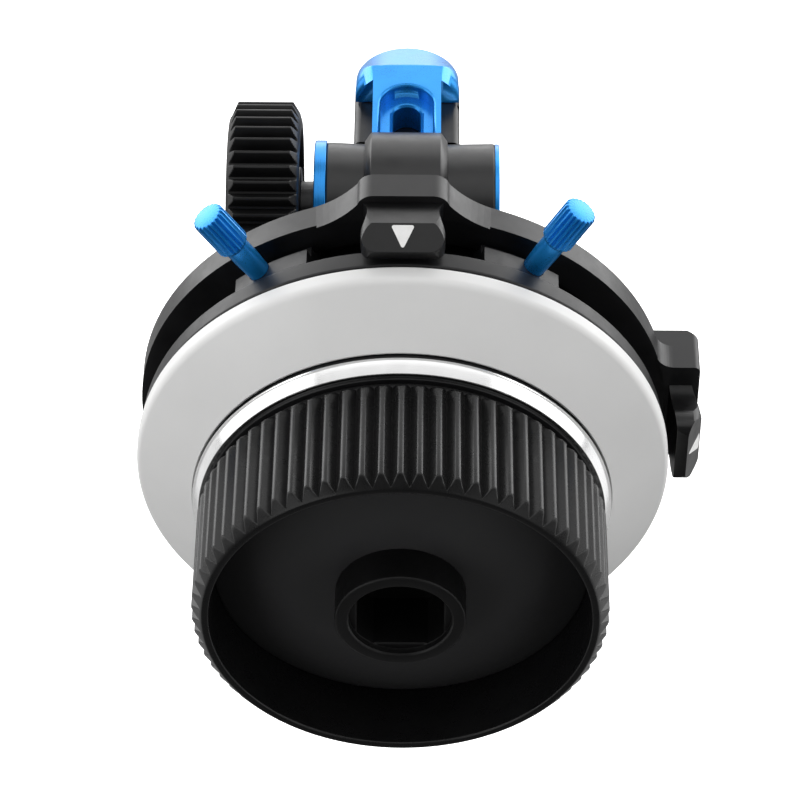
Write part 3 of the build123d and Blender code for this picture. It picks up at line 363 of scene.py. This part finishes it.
def bright_metal(name, centre, axis="Y", base=0.80, rough=(0.06, 0.16), turned=0.22, pitch=0.13):
    k = Nt(name)
    lines, r, s = k.rings(centre, axis, pitch)
    broad = k.noise(k.co, 220.0, 4.0, 0.6)
    colour = k.mix(k.span(broad, 0, 1), (base - 0.05,) * 3, (base + 0.03,) * 3)
    rr = k.math("ADD", k.span(lines, rough[0], rough[1]), k.span(broad, -0.015, 0.02))
    return k.set(color=colour, rough=rr, metal=1.0, normal=k.bump(lines, turned, 0.004))


def gloss_black(name):
    k = Nt(name)
    broad = k.noise(k.co, 45.0, 4.0, 0.5)
    haze = k.noise(k.co, 900.0, 6.0, 0.7)
    dust = k.noise(k.co, 5200.0, 3.0, 0.8)
    lines, r, s = k.rings((0, -D, KZ), "Y", 0.30)
    colour = k.mix(k.span(broad, 0, 1), (0.026, 0.026, 0.027), (0.031, 0.031, 0.032))
    colour = k.mix(k.span(dust, 0.0, 0.25, 0.74, 0.86), colour, (0.07, 0.07, 0.07))
    rough = k.math("ADD", k.span(haze, 0.30, 0.38), k.span(lines, -0.02, 0.02))
    nrm = k.bump(lines, 0.05, 0.002, k.bump(broad, 0.05, 0.05))
    return k.set(color=colour, rough=rough, normal=nrm, spec=0.35)


def felt_black(name):
    k = Nt(name)
    fibres = k.noise(k.co, 6000.0, 6.0, 0.8)
    colour = k.mix(k.span(fibres, 0, 1), (0.006, 0.006, 0.006), (0.035, 0.035, 0.036))
    return k.set(color=colour, rough=0.95, normal=k.bump(fibres, 0.8, 0.08), sheen=0.4)


def bronze(name):
    k = Nt(name)
    sinter = k.noise(k.co, 5000.0, 4.0, 0.7)
    broad = k.noise(k.co, 300.0, 3.0, 0.5)
    colour = k.mix(k.span(broad, 0, 1), (0.42, 0.25, 0.10), (0.58, 0.38, 0.17))
    return k.set(color=colour, rough=k.span(sinter, 0.28, 0.48), metal=1.0, normal=k.bump(sinter, 0.25, 0.01))


def white_paint(name):
    k = Nt(name)
    fine = k.noise(k.co, 4200.0, 3.0, 0.6)
    broad = k.noise(k.co, 900.0, 3.0, 0.6)
    colour = k.mix(k.span(broad, 0, 1), (0.80, 0.80, 0.79), (0.88, 0.88, 0.87))
    return k.set(color=colour, rough=k.span(fine, 0.45, 0.62), normal=k.bump(fine, 0.2, 0.01))


M_BLACK = black_anodised("black_anodised_satin")
M_BLACK_KNOB = black_anodised("black_anodised_turned", (0, -D, KZ), "Y", lo=0.34, hi=0.44, turned=0.14, spec=0.42)
# painted shade: a darker copy of the black anodising, so the pointers come out darker than the flange under the same
# lamps
M_POINTER_SHADED = black_anodised("black_anodised_pointer_painted_shade", dark=(0.0045, 0.0045, 0.0048), light=(0.0070, 0.0070, 0.0074), spec=0.42)
M_BARREL = black_anodised("black_anodised_barrel", (0, BS - D, KZ), "X", turned=0.12)
# painted shade: a darker copy of the black anodising for the crank hub, which sits down in the cup's shade
M_HUB_SHADED = black_anodised("black_anodised_socket_painted_shade", (0, -D, KZ), "Y", lo=0.34, hi=0.5, dark=(0.003, 0.003, 0.0032), light=(0.005, 0.005, 0.0053), turned=0.18, spec=0.4)
M_GRIP = black_anodised("black_anodised_grip", (0, -D, KZ), "Y", lo=0.25, hi=0.34, dark=(0.003, 0.003, 0.0032), light=(0.005, 0.005, 0.0053), grain=0.05, turned=0.06, spec=0.47)
M_GEAR = black_anodised("black_moulded_gear", lo=0.34, hi=0.46, dark=(0.004, 0.004, 0.0042), light=(0.0065, 0.0065, 0.007), grain=0.12, spec=0.30)
M_GLOSS = gloss_black("polished_black_plate")
M_BLUE = blue_anodised("blue_anodised_milled")
M_BLUE_RING = blue_anodised("blue_anodised_ring", (0, BS - D, KZ), "X")
M_BLUE_CLAMP = blue_anodised("blue_anodised_clamp_knob", (0, 0, -13.5), "Y")
M_WHITE = white_plastic("marking_disc_white")
M_CHROME = bright_metal("bright_trim", (0, -D, KZ), rough=(0.13, 0.21))
M_STEEL_K = bright_metal("turned_steel", (0, -D, KZ), base=0.55, rough=(0.22, 0.38), pitch=0.2)
M_STEEL_C = bright_metal("turned_steel_cross", (0, BS - D, KZ), "X", base=0.55, rough=(0.22, 0.38), pitch=0.2)
M_OXIDE = black_anodised("black_oxide", lo=0.26, hi=0.4, dark=(0.012, 0.012, 0.013), light=(0.022, 0.022, 0.023))
M_FELT = felt_black("black_felt")
M_BRONZE = bronze("bearing_bronze")
M_PAINT = white_paint("white_filled_mark")
M_BLUE_A = blue_anodised("blue_anodised_screw_a", None)
M_BLUE_B = blue_anodised("blue_anodised_screw_b", None)


def wear(ob, mat):
    ob.data.materials.clear()
    ob.data.materials.append(mat)
    return ob


def stand(ob, body, mat, slot, *cad):
    """A finished piece: material, body, and the CAD node it stands for, which is hidden. The slot argument is not
    used.
    """
    wear(ob, mat)
    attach(ob, body)
    if cad:
        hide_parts(*cad)
    return ob


# every carried-over CAD node first gets its finish
CAD_LOOK = {
    "black_anodised": M_BLACK, "grip_black": M_GRIP, "gloss_black": M_GLOSS, "blue_anodised": M_BLUE, "gear_black": M_GEAR,
    "bright_trim": M_CHROME, "marking_white": M_WHITE, "paint_white": M_PAINT, "felt": M_FELT, "bronze": M_BRONZE,
    "black_steel": M_OXIDE, "steel": M_STEEL_K,
}
for sub in frame["record"]["subparts"]:
    ob = nodes[sub["node"]]
    look = CAD_LOOK[sub["material_slot"]]
    if sub["node"] in ("gear_washer", "bevel_pinion"):
        look = M_STEEL_C
    if not ob.data.materials:
        ob.data.materials.append(look)
    for i in range(len(ob.data.materials)):
        ob.data.materials[i] = look

# ---------------------------------------------------------------------------
# hand wheel
# ---------------------------------------------------------------------------
# marking disc: cylinder rim, soft front edge, conical face
disc = spin("marking_disc_dish", rnd([
    (-5.9, 29.98, 0.1), (-5.9, 31.05, 0.1), (-6.68, 31.15, 0.08), (-6.76, 31.4, 0.12), (-0.62, 40.0, 1.7), (2.2, 40.0, 0.45), (2.2, 36.6, 0.3),
    (-2.6, 31.6, 0.4), (-2.6, 29.98, 0.1)], n=4), segs=360)
stand(weigh(disc), "marking_disc", M_WHITE, "marking_white", "marking_disc")

ring = spin("disc_retaining_ring", rnd([(-6.4, 29.0, 0), (-6.4, 30.92, 0.1), (-7.55, 30.92, 0.15), (-7.55, 29.0, 0)], n=4), segs=360)
stand(weigh(ring), "handwheel", M_BLACK_KNOB, "black_anodised", "disc_clamp_ring")

trim = spin("bright_trim_ring", [(-7.55, 29.0), (-7.55, 31.2), (-7.6, 31.26), (-7.8, 31.25), (-8.05, 31.21), (-8.3, 31.13), (-8.55, 31.03),
                                (-8.8, 30.9), (-9.75, 30.37), (-9.86, 30.28), (-9.9, 30.15), (-9.9, 29.0)], segs=360)
stand(weigh(trim), "handwheel", M_CHROME, "bright_trim", "chrome_ring")

dome = arc3((-24.75, 9.55), (-23.3, 19.4), (-20.4, 27.45), 24)
back = arc3((-19.3, 27.7), (-22.3, 19.2), (-23.8, 9.55), 10)
plate = spin("domed_face_plate", [(-23.8, 9.55)] + dome + [(-20.3, 27.62), (-20.2, 27.7)] + back[:-1], segs=300)
stand(plate, "handwheel", M_GLOSS, "gloss_black", "face_plate")

body_prof = [(-19.3, 27.7)] + rnd([(-11.2, 27.7, 0), (-11.2, 28.7, 0.05), (-10.3, 28.7, 0.1), (-10.3, 29.6, 0.12), (-9.9, 29.6, 0.1), (-9.9, 26.0, 0), (-16.5, 24.5, 0.6),
                                  (-20.3, 17.0, 0.6), (-21.3, 12.0, 0.6), (-9.9, 12.0, 0), (-9.9, 9.55, 0)], n=3) + back[::-1][0:-1]
knob = spin("knob_shell", body_prof, segs=300)
stand(weigh(knob), "handwheel", M_BLACK_KNOB, "black_anodised", "knob_body")

# fluted grip
RIDGE = ((0.0, 1.0), (0.03, 0.996), (0.06, 0.985), (0.09, 0.966), (0.12, 0.937), (0.145, 0.905), (0.165, 0.868), (0.30, 0.51), (0.42, 0.19),
         (0.475, 0.045), (0.5, 0.0))
GRIP_N = 70


def ridge(phi):
    p = abs(phi)
    for (a, ha), (b, hb) in zip(RIDGE, RIDGE[1:]):
        if p <= b:
            return ha + (hb - ha) * (p - a) / (b - a)
    return 0.0


def grip_profile(t):
    u = t / (2 * math.pi) * GRIP_N
    lo, hi = 28.95, 30.35
    rf = lo + (hi - lo) * ridge(u - round(u))

    def out(s):
        # the ridge's rear end is rounded over
        if s <= -12.9:
            return rf
        return min(rf, 28.75 + 1.62 * math.sqrt(max(0.0, 1 - ((s + 12.9) / 1.7) ** 2)))

    def cone(s):
        # the front end is faced off at a slant, from the lip up to the ridge's own height
        return 28.97 + (s + 30.62) * 0.885
    s_hit = -30.62 + (rf - 28.97) / 0.885
    pts = [(-11.2, 27.7), (-20.0, 27.7), (-30.4, 27.7), (-30.62, 27.75), (-30.78, 27.86), (-30.85, 28.02), (-30.85, 28.62), (-30.82, 28.72), (-30.74, 28.84)]
    for w in (0.12, 0.4, 0.7, 0.9):
        s = -30.62 + (s_hit + 30.62) * w
        pts.append((s, max(28.86, cone(s) - (0.012 if w == 0.9 else 0.0))))
    pts += [(s_hit + 0.0, rf - 0.05), (s_hit + 0.08, rf - 0.012), (s_hit + 0.22, rf), (-24.0, rf), (-18.0, rf), (-14.0, rf)]
    pts += [(s, out(s)) for s in (-12.9, -12.6, -12.3, -12.05, -11.8, -11.6, -11.45, -11.32)]
    pts.append((-11.2, 28.75))
    return pts


angles = []
for i in range(GRIP_N):
    for p in (-0.5, -0.475, -0.42, -0.30, -0.165, -0.145, -0.12, -0.09, -0.06, -0.03, 0.0, 0.03, 0.06, 0.09, 0.12, 0.145, 0.165, 0.30, 0.42, 0.475):
        angles.append((i + p) * 2 * math.pi / GRIP_N)
grip = spin("fluted_grip", grip_profile, angles=angles, sharp=40)
stand(weigh(grip), "handwheel", M_GRIP, "grip_black", "grip_ring")

# hub with the square crank socket
sq_angles = sorted(set([2 * math.pi * i / 240 for i in range(240)] + [math.pi / 2 * k + s * a for k in range(4) for s in (-1, 1)
                        for a in (math.acos(6.35 / 7.5) % (2 * math.pi), math.acos(6.35 / 7.5) + 0.02)]))
sq_angles = [a % (2 * math.pi) for a in sq_angles]
sq_angles = sorted(set(round(a, 6) for a in sq_angles))


def hub_profile(t):
    q = min(6.35 / max(abs(math.cos(t)), abs(math.sin(t))), 7.5)
    c = 0.22 if q < 7.49 else 0.0
    return rnd([(-9.9, 9.55, 0), (-30.4, 9.55, 0.45), (-30.4, 7.75, 0.2), (-30.1, 7.5, 0.08)], n=3) + [
        (-29.22, 7.5), (-29.12, 7.47), (-29.1, min(7.45, q + c)), (-29.1 + c, q), (-24.0, q), (-20.4, q), (-20.4, 3.6), (-16.8, 3.6), (-16.8, 1.65),
        (-14.0, 1.65), (-14.0, 3.0), (-9.9, 3.0)]


hub = spin("crank_hub", hub_profile, angles=sq_angles, sharp=34)
# the hub wears the darker copy of the black anodising, which is painted shade
stand(weigh(hub), "handwheel", M_HUB_SHADED, "black_anodised", "crank_socket_hub")

bolt = rounded("knob_bolt", "knob_bolt_head", 0.12)
stand(bolt, "handwheel", M_OXIDE, "black_steel", "knob_bolt")
bp = rounded("wheel_back_plate", "wheel_back_web", 0.2)
stand(bp, "handwheel", M_BLACK_KNOB, "black_anodised", "wheel_back_plate")
sf = rounded("stop_finger", "stop_finger_pin", 0.25)
stand(sf, "handwheel", M_STEEL_K, "steel", "stop_finger")

# ---------------------------------------------------------------------------
# stator
# ---------------------------------------------------------------------------
fl = rounded("rear_flange", "lugged_flange", 0.30, 3)
stand(fl, "gearbox", M_BLACK, "black_anodised", "rear_flange")
dr = rounded("stop_drum", "stop_drum_ring", 0.2)
stand(dr, "gearbox", M_BLACK_KNOB, "black_anodised", "stop_drum")
hs = rounded("gearbox_housing", "gearbox_casting", 0.25)
stand(hs, "gearbox", M_BARREL, "black_anodised", "gearbox_housing")
# the pointers wear the darker copy of the black anodising, which is painted shade
for nm in ("top_pointer", "side_pointer"):
    pt = rounded(nm, nm + "_block", 0.3, 4)
    stand(pt, "gearbox", M_POINTER_SHADED, "black_anodised", nm)
er = spin("gear_side_blue_ring", rnd([(-12.8, 4.95, 0), (-12.8, 11.45, 0.12), (-14.7, 11.45, 0.35), (-14.7, 4.95, 0.3)], n=3), CROSS, 160)
stand(weigh(er), "gearbox", M_BLUE_RING, "blue_anodised", "gear_side_end_ring")
er = spin("far_side_blue_ring", rnd([(14.3, 8.0, 0), (14.3, 11.0, 0.05), (15.0, 11.0, 0.28), (15.0, 8.0, 0.15)], n=3), CROSS, 160)
stand(weigh(er), "gearbox", M_BLUE_RING, "blue_anodised", "far_side_end_ring")
cap = rounded("far_end_cap", "far_end_plug", 0.2)
stand(cap, "gearbox", M_BARREL, "black_anodised", "far_end_cap")
fs = rounded("flange_screws", "flange_cap_screws", 0.15)
stand(fs, "gearbox", M_OXIDE, "black_steel", "flange_screws")

# ---------------------------------------------------------------------------
# drive gear
# ---------------------------------------------------------------------------
GT, GM = 42, 0.8
gr = GT * GM / 2
g_tip, g_root = gr + GM, gr - 1.25 * GM
hp = math.pi * GM / 4 / gr


def tooth_w(r, wf):
    return hp * wf * gr / r


TOOTH = [(0.0, g_tip), (tooth_w(g_tip, 0.30), g_tip), (tooth_w(g_tip - 0.05, 0.40), g_tip - 0.04), (tooth_w(gr + 0.45, 0.70), gr + 0.45),
         (tooth_w(gr + 0.05, 0.97), gr + 0.05), (tooth_w(gr - 0.35, 1.20), gr - 0.35), (tooth_w(g_root + 0.25, 1.38), g_root + 0.25),
         (tooth_w(g_root, 1.62), g_root), (math.pi / GT, g_root)]


def gear_profile(t):
    u = t * GT / (2 * math.pi) - 0.20
    a = abs(u - round(u)) * 2 * math.pi / GT
    r = g_root
    for (a0, r0), (a1, r1) in zip(TOOTH, TOOTH[1:]):
        if a <= a1 + 1e-9:
            r = r0 + (r1 - r0) * (a - a0) / max(1e-9, a1 - a0)
            break
    x0, x1 = -28.4, -16.9
    pts = [(x0, 13.9), (x0, g_root - 0.85), (x0 + 0.12, g_root - 0.62)]
    for w in (0.0, 0.2, 0.4, 0.6, 0.8, 1.0):
        lim = g_root - 0.4 + (g_tip + 0.02 - g_root + 0.4) * w
        pts.append((x0 + 0.3 + 1.0 * w, min(r, lim)))
    pts += [(x0 + 4.0, r), (x1 - 4.0, r)]
    for w in (1.0, 0.8, 0.6, 0.4, 0.2, 0.0):
        lim = g_root + 0.05 + (g_tip + 0.02 - g_root - 0.05) * w
        pts.append((x1 - 0.3 - 1.1 * w, min(r, lim)))
    pts += [(x1 - 0.1, g_root - 0.7), (x1, g_root - 1.0), (x1, 13.6), (x1 - 0.15, 13.4), (x1 - 1.6, 13.2), (x1 - 1.6, 7.4), (x1 - 0.1, 7.05), (x1, 6.9), (x1, 3.0), (x0 + 2.4, 3.0), (x0 + 2.4, 5.0), (x0 + 0.1, 5.0), (x0, 5.1),
            (x0, 6.9), (x0 + 0.1, 7.05), (x0 + 1.6, 7.4), (x0 + 1.6, 13.2), (x0 + 0.12, 13.6)]
    return pts


g_angles = []
for i in range(GT):
    c = (i + 0.20) * 2 * math.pi / GT
    for a, r in TOOTH[::-1]:
        g_angles.append(c - a)
    for a, r in TOOTH[1:-1]:
        g_angles.append(c + a)
gear = spin("drive_gear_wheel", gear_profile, CROSS, angles=g_angles, sharp=34)
stand(weigh(gear), "drive", M_GEAR, "gear_black", "drive_gear")
gs = rounded("gear_screw", "gear_button_screw", 0.1)
stand(gs, "drive", M_OXIDE, "black_steel", "gear_screw")


# ---------------------------------------------------------------------------
# travel stops
# ---------------------------------------------------------------------------
def thumb_screw(tag, deg, mat):
    ax = stop_axis(deg)
    n = 20
    keys = (-0.5, -0.33, -0.24, -0.12, 0.0, 0.12, 0.24, 0.33)

    def prof(t):
        u = t / (2 * math.pi) * n
        p = abs(u - round(u))
        h = 1.0 if p < 0.13 else (0.0 if p > 0.40 else (0.40 - p) / 0.27)
        r = 2.10 + 0.38 * h
        pts = rnd([(31.0, 0.0, 0), (31.0, 1.65, 0.25), (38.0, 1.65, 0), (41.4, 1.81, 0), (44.1, 1.82, 0)], n=2)
        pts += [(44.1, 1.95), (44.4, min(r, 2.2)), (44.75, r), (50.85, r), (51.02, min(r, 2.4)), (51.1, min(r, 2.34)), (51.16, min(r, 2.27)), (51.2, min(r, 2.14)), (51.2, 0.0)]
        return pts
    angs = [(i + p) * 2 * math.pi / n for i in range(n) for p in keys]
    ob = spin("stop_thumb_screw_" + tag, prof, ax, angles=angs, sharp=36)
    return stand(weigh(ob), "stop_" + tag + "_screw", mat, "blue_anodised", "stop_screw_" + tag)


thumb_screw("a", -33.5, M_BLUE_A)
thumb_screw("b", 30.0, M_BLUE_B)
for tag in "ab":
    sb = rounded("stop_block_" + tag, "travel_stop_" + tag, 0.3, 3)
    stand(sb, "stop_" + tag, M_BLACK, "black_anodised", "stop_block_" + tag)

# ---------------------------------------------------------------------------
# arm and rod clamp
# ---------------------------------------------------------------------------
ac = rounded("arm_collar", "swing_collar", 0.22)
stand(ac, "swing_arm", M_BARREL, "black_anodised", "arm_collar")
sa = rounded("slotted_arm", "slotted_dome_arm", 0.28, 3)
stand(sa, "swing_arm", M_BLUE, "blue_anodised", "slotted_arm")
cb = rounded("clamp_block", "rod_clamp_block", 0.4, 3)
stand(cb, "rod_clamp", M_BLACK, "black_anodised", "clamp_block")


def clamp_prof(t):
    n = 24
    u = t / (2 * math.pi) * n
    p = abs(u - round(u))
    h = 1.0 if p < 0.15 else (0.0 if p > 0.40 else (0.40 - p) / 0.25)
    r = 4.8 + 0.4 * h
    return [(8.3, 2.0), (8.3, 3.0), (8.5, 3.2), (10.1, 3.2), (10.3, 3.4), (10.3, 4.35), (10.55, min(r, 4.75)), (10.85, r), (17.85, r), (18.15, min(r, 4.8)), (18.3, 4.6),
            (18.52, 4.4), (18.6, 4.2), (18.6, 2.6), (18.2, 2.2), (17.7, 0.0), (17.0, 0.0), (17.0, 2.0)]


cang = [(i + p) * 2 * math.pi / 24 for i in range(24) for p in (-0.5, -0.40, -0.27, -0.15, 0.0, 0.15, 0.27, 0.40)]
ck = spin("clamp_thumb_wheel", clamp_prof, CLAMP, angles=cang, sharp=36)
stand(weigh(ck), "clamp_knob", M_BLUE_CLAMP, "blue_anodised", "clamp_thumb_knob")

# ---------------------------------------------------------------------------
# studio
# ---------------------------------------------------------------------------
pale = Nt("pale_floor")
dust = pale.noise(pale.co, 3.0, 3.0, 0.5)
pale.set(color=pale.mix(pale.span(dust, 0, 1), (0.86, 0.86, 0.86), (0.90, 0.90, 0.90)), rough=0.8)
pale.bsdf.inputs["Emission Color"].default_value = (1, 1, 1, 1)
pale.bsdf.inputs["Emission Strength"].default_value = 0.92
# a wide pale bowl: floor, and a wall far off that the floor runs up into
bowl = []
for r, z in ((0.0, -0.42), (0.5, -0.42), (1.2, -0.42), (2.2, -0.42), (2.8, -0.35), (3.2, -0.12), (3.45, 0.4), (3.5, 1.2), (3.5, 2.6)):
    bowl.append((r, z))
bm = bmesh.new()
rows = []
for r, z in bowl:
    rows.append([bm.verts.new((r * math.cos(2 * math.pi * k / 72), r * math.sin(2 * math.pi * k / 72), z)) for k in range(72)] if r else [bm.verts.new((0, 0, z))])
for a, b in zip(rows, rows[1:]):
    for k in range(72):
        if len(a) == 1:
            bm.faces.new((a[0], b[k], b[(k + 1) % 72]))
        else:
            bm.faces.new((a[k], b[k], b[(k + 1) % 72], a[(k + 1) % 72]))
floor = new_object("studio_floor", bm, 60)
wear(floor, pale.m)
floor.visible_glossy = False
floor.visible_diffuse = False

world = bpy.data.worlds.new("studio")
bpy.context.scene.world = world
world.use_nodes = True
wt = world.node_tree
wt.nodes["Background"].inputs[0].default_value = (1, 1, 1, 1)
# dim from the front and below, brighter behind
way = wt.nodes.new("ShaderNodeSeparateXYZ")
wt.links.new(wt.nodes.new("ShaderNodeTexCoord").outputs["Generated"], way.inputs[0])
ramp = wt.nodes.new("ShaderNodeMapRange")
ramp.interpolation_type = "SMOOTHSTEP"
for i, v in ((1, -0.5), (2, 0.3), (3, 0.10), (4, 0.55)):
    ramp.inputs[i].default_value = v
wt.links.new(way.outputs[1], ramp.inputs[0])
wt.links.new(ramp.outputs[0], wt.nodes["Background"].inputs[1])

CENTRE = Vector((0, -0.06, 0.005))


def softbox(name, pos, size, radiance, tint=(1, 1, 1), aim=None):
    li = bpy.data.lights.new(name, "AREA")
    li.shape = "RECTANGLE"
    li.size, li.size_y = size
    li.energy = radiance * size[0] * size[1] * math.pi
    li.color = tint
    ob = bpy.data.objects.new(name, li)
    COLL.objects.link(ob)
    ob.location = pos
    d = (aim or CENTRE) - Vector(pos)
    ob.rotation_euler = d.to_track_quat("-Z", "Y").to_euler()
    return ob


softbox("back_top", (0.0, 1.20, 0.78), (1.2, 0.9), 1.25)
softbox("back_low", (0.0, 1.55, -0.02), (0.95, 0.75), 1.7)
softbox("back_left", (-0.98, 1.13, 0.30), (1.0, 1.3), 2.9)
softbox("back_right", (0.98, 1.13, 0.30), (1.0, 1.3), 2.8)
softbox("overhead", (0.0, -0.10, 1.35), (2.3, 1.1), 0.82)
softbox("left_panel", (-1.4, -0.06, 0.50), (0.9, 1.6), 1.45)
softbox("right_panel", (1.4, -0.06, 0.50), (0.9, 1.6), 1.45)
softbox("front_left", (-0.95, -1.15, 0.55), (0.9, 0.8), 0.9)
softbox("front_right", (0.95, -1.15, 0.55), (0.9, 0.8), 0.5)
softbox("low_left", (-1.0, -0.05, -0.55), (0.7, 0.7), 0.45)
softbox("low_right", (1.0, -0.05, -0.55), (0.7, 0.7), 0.7)
# broad bounce from the front that only the matt surfaces show
for nm, pos, rad in (("bounce_left", (-1.25, -0.95, 0.15), 2.3), ("bounce_right", (1.25, -0.95, 0.15), 1.7)):
    softbox(nm, pos, (1.1, 1.1), rad).visible_glossy = False

# camera at the photograph's angle
EL, YAW = math.radians(45.95), math.radians(0.6)
right = Vector((math.cos(YAW), math.sin(YAW), 0))
head = Vector((-math.sin(YAW), math.cos(YAW), 0))
fwd = head * math.cos(EL) - Vector((0, 0, 1)) * math.sin(EL)
up = head * math.sin(EL) + Vector((0, 0, 1)) * math.cos(EL)
TX, TY, TZ = 0.353, 10.245, 527.5
eye = Vector((0, -D, KZ)) - right * TX + up * TY - fwd * TZ
cam = bpy.data.cameras.new("camera")
cam.lens = 36 * 3500 / 800
cam.sensor_width = 36
cam.clip_start, cam.clip_end = 0.01, 20
camo = bpy.data.objects.new("camera", cam)
COLL.objects.link(camo)
rot = Matrix((right, up, -fwd)).transposed()
camo.matrix_world = Matrix.Translation(eye * MM) @ rot.to_4x4()
bpy.context.scene.camera = camo
bpy.context.scene.view_settings.view_transform = "Standard"
bpy.context.scene.view_settings.look = "None"
